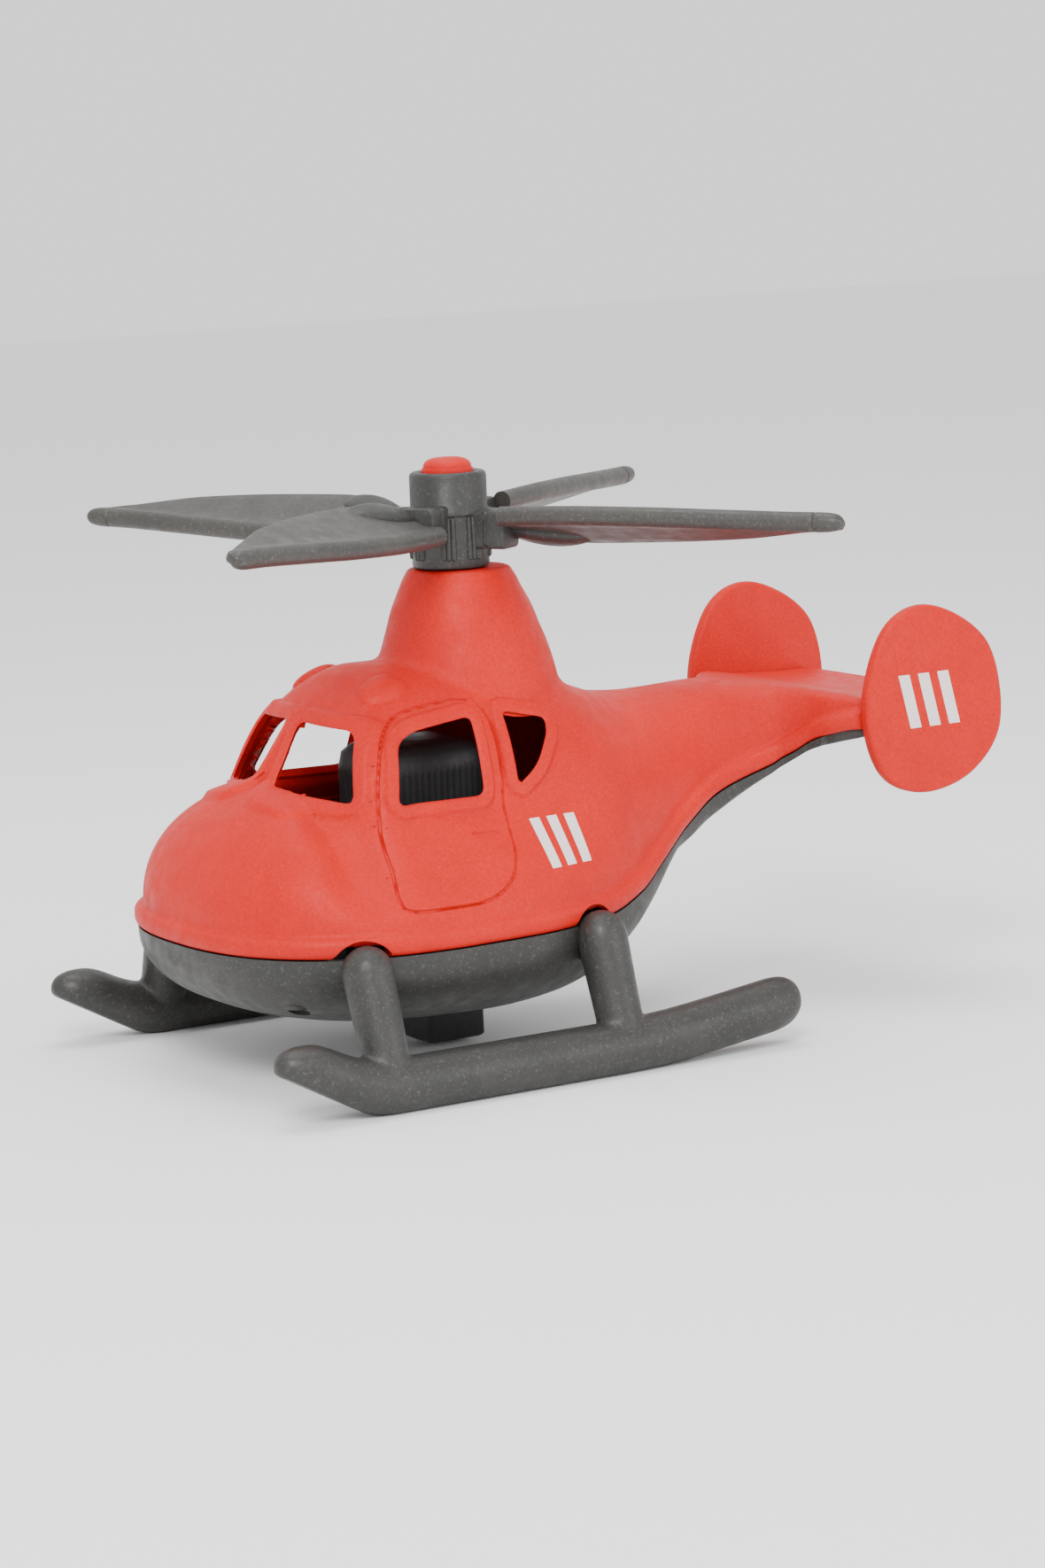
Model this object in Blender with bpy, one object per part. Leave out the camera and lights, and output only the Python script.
"""A toddler's toy helicopter: a hollow red upper shell on a grey lower tub, two grey skids,
two tail fins and a four-blade rotor that turns freely on a red mast pin.

World frame: +X is the nose, +Y is port, +Z is up, and Z = 0 is the floor under the skids.
Body lengths below are measured from the mast axis, which stands at HUB_X.
"""

import math

import bmesh
import bpy
from mathutils import Vector

MM = 0.001
HUB_X = 29.2  # puts the middle of the whole toy's length at X = 0
GAP = 0.3  # clearance between touching mouldings
WALL = 2.4

# Plan of the body
NOSE_CENTRE = 36.5
NOSE_LENGTH = 62.5
NOSE_SQUARENESS = 2.5
BODY_HALF_WIDTH = 64.7
TAIL_END = -162.5
STABILISER_HALF_SPAN = 46.6

# The bead round the shell's lower edge
BEAD_OUT = 2.7
BEAD_HEIGHT = 6.0

# Mast and rotor heights
MAST_TOP = 146.2
HUB_RADIUS = 11.8
ARM_HEIGHT = 160.0
BAR_A_ANGLE = -58.0
BLADE_PITCH = 24.0
CONING = 0.8
BAR_STAGGER = 0.9  # blades 1 and 3 sit this much below ARM_HEIGHT, and blades 2 and 4 this much above
ARM_REACH = 21.0
HUB_TOP = 15.7  # above ARM_HEIGHT
BUTTON_SEAT = 13.5
PIN_RADIUS = 3.2

# Landing gear
SKID_Y = 73.7
SKID_RADIUS = 8.2
STRUT_RADIUS = 7.7
STRUT_X = (70.3, -9.8)
STRUT_TOP_Y = 63.0
STRUT_TOP_Z = 39.5

FIN_THICKNESS = 4.4
BELLY_ROUNDNESS = 2.4
TUB_OUT = BEAD_OUT - 0.9  # how far the tub's wall stands outside the body's plan
FLARE_X = -112.0  # behind this the boom flares into the stabiliser
SCREW_PLACES = {
    "screw_front_port": (80.0, 38.0),
    "screw_front_starboard": (80.0, -38.0),
    "screw_rear_port": (-26.0, 40.0),
    "screw_rear_starboard": (-26.0, -40.0),
    "screw_tail": (-74.0, 0.0),
}
# How far up its wall each screw's boss reaches before it meets the skin
BOSS_REACH = {
    "screw_front_port": 0.55,
    "screw_front_starboard": 0.55,
    "screw_rear_port": 0.45,
    "screw_rear_starboard": 0.45,
    "screw_tail": 0.95,
}

RED = (0.79, 0.105, 0.075)
GREY = (0.115, 0.113, 0.108)
STEEL = (0.55, 0.55, 0.56)

# Each line: (distance ahead of the mast axis, value)
ROOF_LINE = (
    (-166, 94.8), (-150, 95.2), (-132, 96.5), (-118, 99), (-104, 101.5), (-86, 102.5), (-63, 102),
    (-49.5, 103), (-38, 106.5), (-23.5, 113), (-4, 118), (15, 120), (33.5, 120), (41.5, 118), (49.5, 112.5),
    (56.5, 104.5), (65.5, 91), (67.5, 88.3), (75.5, 84.8), (83, 80.1), (90, 73.4), (94.5, 66), (98, 57),
    (99, 51),
)
SIDE_LINE = (
    (-162.5, 46), (-144, 46.5), (-121.5, 46.4), (-114, 40.3), (-108, 30.8), (-101, 24), (-90.5, 21.8),
    (-77.5, 23), (-62, 28.8), (-46, 38), (-28.5, 47.7), (-9, 57), (12.5, 63), (36.5, BODY_HALF_WIDTH),
)
EDGE_LINE = (
    (-162, 93.8), (-118, 93.8), (-112, 92), (-105, 86), (-99, 82.5), (-79.5, 76.4), (-64, 69), (-48, 60.3),
    (-34.5, 53), (-18.5, 49.5), (2.5, 49), (99.5, 49),
)
KEEL_LINE = (
    (-159.5, 85), (-129.5, 85), (-112.5, 81.5), (-103, 74.5), (-83, 64), (-63.5, 54.7), (-53.5, 45.3),
    (-44.5, 34), (-33.5, 24.6), (-20.5, 17.7), (-4, 14.2), (13.5, 13.3), (32.5, 14), (58, 16.2), (75.5, 19.7),
    (88.5, 24.7), (95.5, 30.2), (99, 36.2), (101, 41),
)
ROUNDNESS = (
    (-161.5, 7), (-122, 6), (-100, 3.2), (-66, 2.3), (50, 2.3), (62, 1.7), (78, 2.1), (100, 2.3),
)
# How far the cabin draws in above its sill, as a share of the body's width
WAIST_LINE = (
    (-62, 0.0), (-34, 0.0), (-6, 0.2), (12, 0.27), (38, 0.27), (50, 0.2), (62, 0.15), (76, 0.03), (88, 0.0),
    (100, 0.0),
)
SILL_RISE = 0.5

# Mast pylon: (height, centre ahead of the axis, radius)
MAST_RINGS = (
    (79, -3.4, 26.0), (103, -3.4, 29.4), (112, -3.4, 28.2), (117.5, -3.4, 26.9), (122.5, -3.4, 25.4),
    (128, -3.1, 23.5), (134, -2.9, 21.5), (139.6, -2.6, 18.9), (143.7, -2.5, 17.0), (145.5, -2.5, 15.9),
    (MAST_TOP, -2.5, 14.2),
)


def curve(points):
    """A function through these points that never overshoots them (monotone cubic)."""
    xs = [p[0] for p in points]
    ys = [p[1] for p in points]
    slopes = [(ys[i + 1] - ys[i]) / (xs[i + 1] - xs[i]) for i in range(len(xs) - 1)]
    tangents = [slopes[0]]
    for before, after in zip(slopes, slopes[1:]):
        same_way = before * after > 0
        tangents.append(2 * before * after / (before + after) if same_way else 0.0)
    tangents.append(slopes[-1])

    def value(x):
        x = min(max(x, xs[0]), xs[-1])
        i = max(k for k in range(len(xs) - 1) if xs[k] <= x)
        step = xs[i + 1] - xs[i]
        t = (x - xs[i]) / step
        rise = ys[i] + t * t * (3 - 2 * t) * (ys[i + 1] - ys[i])
        return rise + step * t * (1 - t) * ((1 - t) * tangents[i] - t * tangents[i + 1])

    return value


roof_height = curve(ROOF_LINE)
side_width = curve(SIDE_LINE)
edge_height = curve(EDGE_LINE)
keel_height = curve(KEEL_LINE)
roundness = curve(ROUNDNESS)
waist = curve(WAIST_LINE)


def plan_width(x, grow=0.0):
    """Half the body's width at x, with its outline moved out by grow."""
    if x <= NOSE_CENTRE:
        return side_width(x) + grow
    reach = min((x - NOSE_CENTRE) / (NOSE_LENGTH + grow), 1.0)
    return (BODY_HALF_WIDTH + grow) * (1 - reach**NOSE_SQUARENESS) ** (1 / NOSE_SQUARENESS)


def stations(grow, tail, nose_steps=9, body_steps=22):
    """Distances along the body, closer together where the nose turns in.

    Every moulding shares the ones behind the nose, so that facing edges keep their gap.
    """
    ahead = [
        NOSE_CENTRE + (NOSE_LENGTH + grow) * math.sin(math.pi / 2 * k / nose_steps)
        for k in range(1, nose_steps)
    ]
    ahead.append(NOSE_CENTRE + (NOSE_LENGTH + grow) * 0.9985)
    last = TAIL_END + 5.0
    behind = [NOSE_CENTRE + (last - NOSE_CENTRE) * k / body_steps for k in range(body_steps, -1, -1)]
    return [tail] + behind + ahead


def drawn_in(x, up):
    """What the waist leaves of the width, at a share up of the arch's height."""
    t = min(up / SILL_RISE, 1.0)
    return 1 - waist(x) * t * t * (3 - 2 * t)


def arch(x, width, foot, top, skirt, points=21):
    """A section of the body: an arch from the port foot over the top, with straight skirts below."""
    power = 2 / roundness(x)
    ring = [(x, width, foot - skirt)]
    for k in range(points):
        angle = math.pi * k / (points - 1)
        across = math.copysign(abs(math.cos(angle)) ** power, math.cos(angle))
        up = math.sin(angle) ** power if 0 < k < points - 1 else 0.0
        ring.append((x, width * across * drawn_in(x, up), foot + (top - foot) * up))
    ring.append((x, -width, foot - skirt))
    return ring


def mesh_object(name, bm, colour, location=(0, 0, 0), cutter=False, rough=0.55, metal=0.0):
    bmesh.ops.remove_doubles(bm, verts=bm.verts, dist=1e-7)
    bmesh.ops.recalc_face_normals(bm, faces=bm.faces)
    bmesh.ops.scale(bm, vec=(MM, MM, MM), verts=bm.verts)
    mesh = bpy.data.meshes.new(name)
    bm.to_mesh(mesh)
    bm.free()
    mesh.shade_smooth()
    mesh.set_sharp_from_angle(angle=math.radians(35))
    obj = bpy.data.objects.new(name, mesh)
    obj.location = [c * MM for c in location]
    bpy.context.scene.collection.objects.link(obj)
    if cutter:
        obj.hide_render = True
        obj.display_type = "WIRE"
        return obj
    material = bpy.data.materials.new(name)
    material.use_nodes = True
    shader = material.node_tree.nodes["Principled BSDF"]
    shader.inputs["Base Color"].default_value = (*colour, 1)
    shader.inputs["Roughness"].default_value = rough
    shader.inputs["Metallic"].default_value = metal
    mesh.materials.append(material)
    return obj


def loft(rings):
    """A closed skin over rings of equal length."""
    bm = bmesh.new()
    rows = [[bm.verts.new(point) for point in ring] for ring in rings]
    count = len(rows[0])
    for a, b in zip(rows, rows[1:]):
        for i in range(count):
            j = (i + 1) % count
            bm.faces.new((a[i], a[j], b[j], b[i]))
    bm.faces.new(rows[0])
    bm.faces.new(rows[-1])
    return bm


def turned(profile, steps=24, centre=(0, 0)):
    """A solid of revolution about the vertical through centre; profile is (radius, height) from the bottom."""
    rings = []
    for radius, height in profile:
        ring = []
        for k in range(steps):
            angle = 2 * math.pi * k / steps
            x = centre[0] + radius * math.cos(angle)
            ring.append((x, centre[1] + radius * math.sin(angle), height))
        rings.append(ring)
    return loft(rings)


def slab(outline, low, high, axis):
    """An outline drawn in the plane across the axis ("X" or "Y"), extruded from low to high along it."""
    if axis == "Y":
        return loft([[(a, depth, b) for a, b in outline] for depth in (low, high)])
    return loft([[(depth, a, b) for a, b in outline] for depth in (low, high)])


def box(x0, x1, y0, y1, z0, z1):
    return loft([[(x, y0, z0), (x, y1, z0), (x, y1, z1), (x, y0, z1)] for x in (x0, x1)])


def rounded(corners, radius, steps=3):
    """A closed outline with its corners rounded; each corner is (a, b) or (a, b, its own radius)."""
    outline = []
    count = len(corners)
    for i, corner in enumerate(corners):
        here = Vector(corner[:2])
        size = corner[2] if len(corner) > 2 else radius
        back = (Vector(corners[i - 1][:2]) - here).normalized()
        ahead = (Vector(corners[(i + 1) % count][:2]) - here).normalized()
        start = here + back * size
        end = here + ahead * size
        for k in range(steps + 1):
            t = k / steps
            point = start * (1 - t) ** 2 + here * 2 * t * (1 - t) + end * t * t
            outline.append((point.x, point.y))
    return outline


def closed_spline(knots, steps):
    """A smooth closed outline through these points (Catmull-Rom)."""
    outline = []
    count = len(knots)
    for i in range(count):
        a, b, c, d = (Vector(knots[(i + k) % count]) for k in (-1, 0, 1, 2))
        for k in range(steps):
            t = k / steps
            point = 0.5 * (2 * b + (c - a) * t + (2 * a - 5 * b + 4 * c - d) * t**2 + (3 * b - a - 3 * c + d) * t**3)
            outline.append((point.x, point.y))
    return outline


def boolean(obj, other, operation):
    modifier = obj.modifiers.new(f"{operation} {other.name}", "BOOLEAN")
    modifier.operation = operation
    modifier.object = other
    modifier.solver = "EXACT"


def cut(obj, bm, name, location=(HUB_X, 0, 0)):
    boolean(obj, mesh_object(name, bm, RED, location, cutter=True), "DIFFERENCE")


def join(obj, bm, name, location=(HUB_X, 0, 0)):
    boolean(obj, mesh_object(name, bm, RED, location, cutter=True), "UNION")


BODY_AT = (HUB_X, 0, 0)

# Window outlines. Side ones are (ahead, height); the windscreen's is (port, height).
DOOR_WINDOW = ((48, 83), (42.2, 99.5, 3), (35.7, 102.6, 3), (15, 104.7, 2), (17.2, 82.5, 3))
REAR_WINDOW = ((3.2, 105), (-10.6, 101.7, 1.5), (-9.6, 97.8, 1.5), (-3, 88.8, 4), (4.4, 84, 1.5))
WINDSCREEN = ((6.5, 87), (3.4, 104.8), (28.3, 103.7, 4), (37.8, 83.7, 3))
FIN_OUTLINE = (
    (-144, 125), (-126.5, 119.2), (-117.5, 96), (-123, 74), (-138.5, 66), (-158, 70.3), (-170, 85.6),
    (-165.5, 111.5),
)


def tub_section(x):
    """The tub's half width, top and lowest height at x, outside."""
    width = max(plan_width(x, TUB_OUT if x > FLARE_X else -0.6), 0.6)
    top = edge_height(x) - BEAD_HEIGHT - GAP
    return width, top, min(keel_height(x), top - 1.0)


def screw_seat(x, y):
    """Where a screw's head seats, a little above the tub's underside."""
    width, top, keel = tub_section(x)
    return top - (top - keel) * (1 - (abs(y) / width) ** BELLY_ROUNDNESS) ** (1 / BELLY_ROUNDNESS) + 4.0


def make_shell():
    """The red upper shell with its bead, mast pylon, windows and screw bosses."""
    skin = [
        arch(x, plan_width(x), edge_height(x), roof_height(x), 1.0) for x in stations(0, TAIL_END)
    ]
    shell = mesh_object("body_shell", loft(skin), RED, BODY_AT)
    bead = []
    for x in stations(BEAD_OUT, TAIL_END - 1.5):
        out = plan_width(x, BEAD_OUT if x > FLARE_X else 0.2)
        top = edge_height(x)
        low = top - BEAD_HEIGHT
        half = [(out - 1.4, low), (out, low + 1.4), (out, top - 1.6), (out - 1.6, top)]
        ring = [(x, max(y, 0.4), z) for y, z in half]
        bead.append(ring + [(x, -y, z) for _, y, z in reversed(ring)])
    join(shell, loft(bead), "bead")
    join(shell, loft([
        [
            (ahead + radius * math.cos(math.tau * k / 32), radius * math.sin(math.tau * k / 32), height)
            for k in range(32)
        ]
        for height, ahead, radius in MAST_RINGS
    ]), "mast")
    hollow = []
    for x in stations(-WALL, TAIL_END + WALL):
        width = max(plan_width(x, -WALL), 0.5)
        top = roof_height(x) - WALL
        foot = min(edge_height(x), top - 0.8)
        hollow.append(arch(x, width, foot, top, foot - edge_height(x) + BEAD_HEIGHT + 4))
    cut(shell, loft(hollow), "shell_hollow")
    cut(shell, turned([(24.5, 89), (24.5, 111), (21, 125), (13, 142.2)], centre=(-3.2, 0)), "mast_hollow")
    cut(shell, turned([(PIN_RADIUS + GAP, 130), (PIN_RADIUS + GAP, 160)]), "pin_hole")
    for side, name in ((1, "port"), (-1, "starboard")):
        door = rounded(DOOR_WINDOW, 2.5)
        rear = rounded(REAR_WINDOW, 2.0)
        screen = rounded([(side * c[0], *c[1:]) for c in WINDSCREEN], 3.0)
        cut(shell, slab(door, side * 19, side * 75, "Y"), f"door_window_{name}")
        cut(shell, slab(rear, side * 23, side * 75, "Y"), f"rear_window_{name}")
        cut(shell, slab(screen, 46, 90, "X"), f"windscreen_{name}")
        for x in STRUT_X:
            notch = strut_rings(x, side, STRUT_RADIUS + 1.0)
            cut(shell, loft(notch), f"notch_{name}_{x:.0f}")
    for name, (x, y) in SCREW_PLACES.items():
        low = edge_height(x) - BEAD_HEIGHT
        reach = BOSS_REACH[name]
        top = edge_height(x) + reach * (roof_height(x) - edge_height(x))
        join(shell, turned([(3.4, low), (3.4, top)], 12, (x, y)), f"boss_{name}")
        cut(shell, turned([(1.7, low - 1), (1.7, low + 9)], 12, (x, y)), f"pilot_{name}")
    return shell


def make_tub():
    """The grey lower half: belly, boom underside and the towers that the screws pass through."""
    outside = []
    hollow = []
    for x in stations(TUB_OUT, TAIL_END + 1.0):
        outside.append(belly(x, *tub_section(x)))
    tub = mesh_object("chassis_tub", loft(outside), GREY, BODY_AT)
    for x in stations(TUB_OUT - WALL, TAIL_END + 1.0 + WALL):
        width = max(plan_width(x, TUB_OUT - WALL if x > FLARE_X else -0.6 - WALL), 0.3)
        top = edge_height(x) - BEAD_HEIGHT + 3
        keel = min(keel_height(x) + WALL, top - 3.8)
        hollow.append(belly(x, width, top, keel))
    cut(tub, loft(hollow), "tub_hollow")
    for name, (x, y) in SCREW_PLACES.items():
        top = edge_height(x) - BEAD_HEIGHT - GAP
        seat = screw_seat(x, y)
        join(tub, turned([(4.6, seat - 2.4), (4.6, top)], 12, (x, y)), f"tower_{name}")
        cut(tub, turned([(3.3, -5), (3.3, seat)], 12, (x, y)), f"counterbore_{name}")
        cut(tub, turned([(1.8, -5), (1.8, top + 3)], 12, (x, y)), f"clearance_{name}")
    for side, name in ((1, "port"), (-1, "starboard")):
        for x in STRUT_X:
            cut(tub, loft(strut_rings(x, side, STRUT_RADIUS + GAP)), f"socket_{name}_{x:.0f}")
    return tub


def belly(x, width, top, keel, points=13):
    ring = []
    power = 2 / (BELLY_ROUNDNESS if x > -57 else 5.0)
    for k in range(points):
        angle = math.pi * k / (points - 1)
        across = math.copysign(abs(math.cos(angle)) ** power, math.cos(angle))
        down = math.sin(angle) ** power if 0 < k < points - 1 else 0.0
        ring.append((x, width * across, top - (top - keel) * down))
    return ring


def strut_rings(x, side, radius, steps=14):
    """Rings up one strut, from inside the skid to its domed head in the body."""
    foot = Vector((x, side * SKID_Y, SKID_RADIUS))
    head = Vector((x, side * STRUT_TOP_Y, STRUT_TOP_Z))
    up = (head - foot).normalized()
    across = Vector((1, 0, 0))
    depth = up.cross(across)
    places = [foot, foot.lerp(head, 0.5), head]
    sizes = [radius, radius, radius]
    for angle in (30, 55, 75):
        places.append(head + up * radius * math.sin(math.radians(angle)))
        sizes.append(radius * math.cos(math.radians(angle)))
    rings = []
    for place, size in zip(places, sizes):
        ring = []
        for k in range(steps):
            turn = math.tau * k / steps
            ring.append(place + across * size * math.cos(turn) + depth * size * math.sin(turn))
        rings.append(ring)
    return rings


# A skid's axis height and radius along its length
SKID_AXIS = curve(((-70, 13.6), (-55, 11.6), (-21, 8.0), (-6, 7.4), (71, 7.4), (81, 9.6), (93, 14.8), (107.5, 18.2)))
SKID_TUBE = curve((
    (-71.5, 3), (-70.5, 5.2), (-67.5, 7.2), (-62, 8.2), (0, 8.2), (93, 8.2), (100, 7), (105, 4.8), (107.5, 1.8),
))
SOLE_END = 77.5


def make_skid(name, side):
    steps = 16
    places = (-71.5, -70.5, -67.5, -62, -54, -38, -21, -6, 32, 71, 76, 81, 87, 93, 100, 105, 107.5)
    rings = []
    for x in places:
        ring = []
        for k in range(steps):
            turn = math.tau * k / steps
            z = SKID_AXIS(x) + SKID_TUBE(x) * math.sin(turn)
            sole = max(0.0, 0.55 * (x - SOLE_END))
            ring.append((x, side * SKID_Y + SKID_TUBE(x) * math.cos(turn), max(z, sole)))
        rings.append(ring)
    skid = mesh_object(name, loft(rings), GREY, BODY_AT)
    for x in STRUT_X:
        join(skid, loft(strut_rings(x, side, STRUT_RADIUS)), f"{name}_strut_{x:.0f}")
    return skid


def make_fin(name, side):
    """An egg-shaped upright plate on the end of the stabiliser."""
    outline = closed_spline(FIN_OUTLINE, 5)
    middle = [sum(p[i] for p in outline) / len(outline) for i in (0, 1)]
    inner = STABILISER_HALF_SPAN + GAP
    rings = []
    for depth, shrink in ((0, 0.96), (1.0, 1.0), (FIN_THICKNESS - 1.0, 1.0), (FIN_THICKNESS, 0.96)):
        ring = []
        for a, b in outline:
            x = middle[0] + (a - middle[0]) * shrink
            ring.append((x, side * (inner + depth), middle[1] + (b - middle[1]) * shrink))
        rings.append(ring)
    return mesh_object(name, loft(rings), RED, BODY_AT)


def make_seat():
    """The dark moulded seat block that stands in the cabin on the tub's floor."""
    profile = rounded([(36, 18), (36, 78), (33, 91), (24, 95.5), (2, 91.5), (-2, 80), (-2, 18)], 3.0)
    return mesh_object("cabin_seat", slab(profile, -17, 17, "Y"), (0.05, 0.05, 0.05), BODY_AT)


def make_belly_block():
    return mesh_object("belly_block", box(0, 20, -9, 9, 1.6, 12.2), (0.06, 0.06, 0.06), BODY_AT)


def make_screw(name, x, y):
    seat = screw_seat(x, y)
    profile = [(2.7, seat - GAP - 1.8), (2.7, seat - GAP), (1.35, seat - GAP), (1.35, edge_height(x) + 1.5)]
    return mesh_object(name, turned(profile, 12, (x, y)), STEEL, BODY_AT, rough=0.3, metal=1.0)


def make_hub(axis):
    """The hub: a boss, four arms and a collar, bored for the pin."""
    low = MAST_TOP + GAP - ARM_HEIGHT
    profile = [
        (HUB_RADIUS - 0.8, low), (HUB_RADIUS, low + 0.8), (HUB_RADIUS, HUB_TOP - 0.9), (HUB_RADIUS - 0.9, HUB_TOP),
    ]
    hub = mesh_object("rotor_hub", turned(profile, 32), GREY)
    hub.parent = axis
    section = ((-5.2, -6.6), (5.2, -6.6), (5.2, 3.4), (3.4, 5.2), (-3.4, 5.2), (-5.2, 3.4))
    for quarter in range(4):
        turn = math.radians(BAR_A_ANGLE + 90 * quarter)
        arm = []
        for reach in (4.0, ARM_REACH):
            ring = []
            for across, up in section:
                x = reach * math.cos(turn) - across * math.sin(turn)
                y = reach * math.sin(turn) + across * math.cos(turn)
                ring.append((x, y, up + bar_rise(quarter)))
            arm.append(ring)
        join(hub, loft(arm), f"arm_{quarter}", (HUB_X, 0, ARM_HEIGHT))
    bore = [(PIN_RADIUS + GAP, low - 2), (PIN_RADIUS + GAP, 20)]
    cut(hub, turned(bore, 24), "hub_bore", (HUB_X, 0, ARM_HEIGHT))
    cut(hub, turned([(8.4, BUTTON_SEAT), (8.4, 20)], 24), "button_seat", (HUB_X, 0, ARM_HEIGHT))
    return hub


def bar_rise(quarter):
    """How far above the arms' middle height this quarter's arm and blade sit."""
    return BAR_STAGGER if quarter % 2 else -BAR_STAGGER


SPAR_LINE = curve(((21, 8.0), (40, 8.2), (66, 6.6), (93, 3.4), (118, 0.6), (130, 0)))
WEB_LINE = curve(((21, -5), (34, -15), (44, -16.6), (66, -16), (93, -13.4), (112, -8.4), (124, -4.4), (129, -1.5)))


def make_blade(name, axis, quarter):
    """A blade plugged on an arm: a round spar down one edge and a thin web beside it.

    The two blades of one bar are half a turn apart about the level line across the bar,
    so their spars lie on the same side and their pitch runs on from one to the other.
    """
    rings = []
    for reach in (ARM_REACH + GAP, 26, 34, 44, 66, 93, 112, 122, 127, 130):
        spar = SPAR_LINE(reach)
        web = WEB_LINE(reach)
        thick = 3.0 if reach < 120 else 3.0 - 0.12 * (reach - 120)
        thin = 1.1
        ring = []
        for k in range(9):
            turn = math.radians(-110 + 220 * k / 8)
            ring.append((reach, spar + thick * math.cos(turn) * 0.98, thick * math.sin(turn)))
        ring.append((reach, spar - 3.2, thin))
        ring.append((reach, web + 1.0, thin))
        ring.append((reach, web, 0.0))
        ring.append((reach, web + 1.0, -thin))
        ring.append((reach, spar - 3.2, -thin))
        rings.append(ring)
    blade = mesh_object(name, loft(rings), GREY)
    blade.parent = axis
    blade.location = (0, 0, bar_rise(quarter) * MM)
    half_turn = math.pi if quarter >= 2 else 0.0
    pitch = half_turn - math.radians(BLADE_PITCH)
    blade.rotation_euler = (pitch, -math.radians(CONING), math.radians(BAR_A_ANGLE + 90 * quarter))
    return blade


def make_pin():
    """The mast pin: a stepped dome on top of a shaft that runs down into the mast."""
    seat = ARM_HEIGHT + BUTTON_SEAT + GAP
    profile = [
        (PIN_RADIUS, 131.0), (PIN_RADIUS, seat), (7.7, seat), (7.7, seat + 3.0), (7.0, seat + 4.2),
        (5.8, seat + 5.2), (3.0, seat + 6.2),
    ]
    return mesh_object("rotor_pin", turned(profile, 24), RED, BODY_AT)


def make_retainer():
    """The push-on ring that holds the pin under the mast's top wall."""
    ring = mesh_object("pin_retainer", turned([(8.0, 138.6), (8.0, 141.6)], 24), GREY, BODY_AT)
    cut(ring, turned([(PIN_RADIUS + GAP, 136), (PIN_RADIUS + GAP, 144)], 24), "retainer_bore")
    return ring


def main():
    for obj in list(bpy.data.objects):
        bpy.data.objects.remove(obj, do_unlink=True)
    make_shell()
    make_tub()
    for side, name in ((1, "port"), (-1, "starboard")):
        make_skid(f"skid_{name}", side)
        make_fin(f"fin_{name}", side)
    make_seat()
    make_belly_block()
    for name, (x, y) in SCREW_PLACES.items():
        make_screw(name, x, y)
    make_pin()
    make_retainer()
    axis = bpy.data.objects.new("rotor_axis", None)
    axis.location = (HUB_X * MM, 0, ARM_HEIGHT * MM)
    bpy.context.scene.collection.objects.link(axis)
    make_hub(axis)
    for quarter in range(4):
        make_blade(f"rotor_blade_{quarter + 1}", axis, quarter)


main()
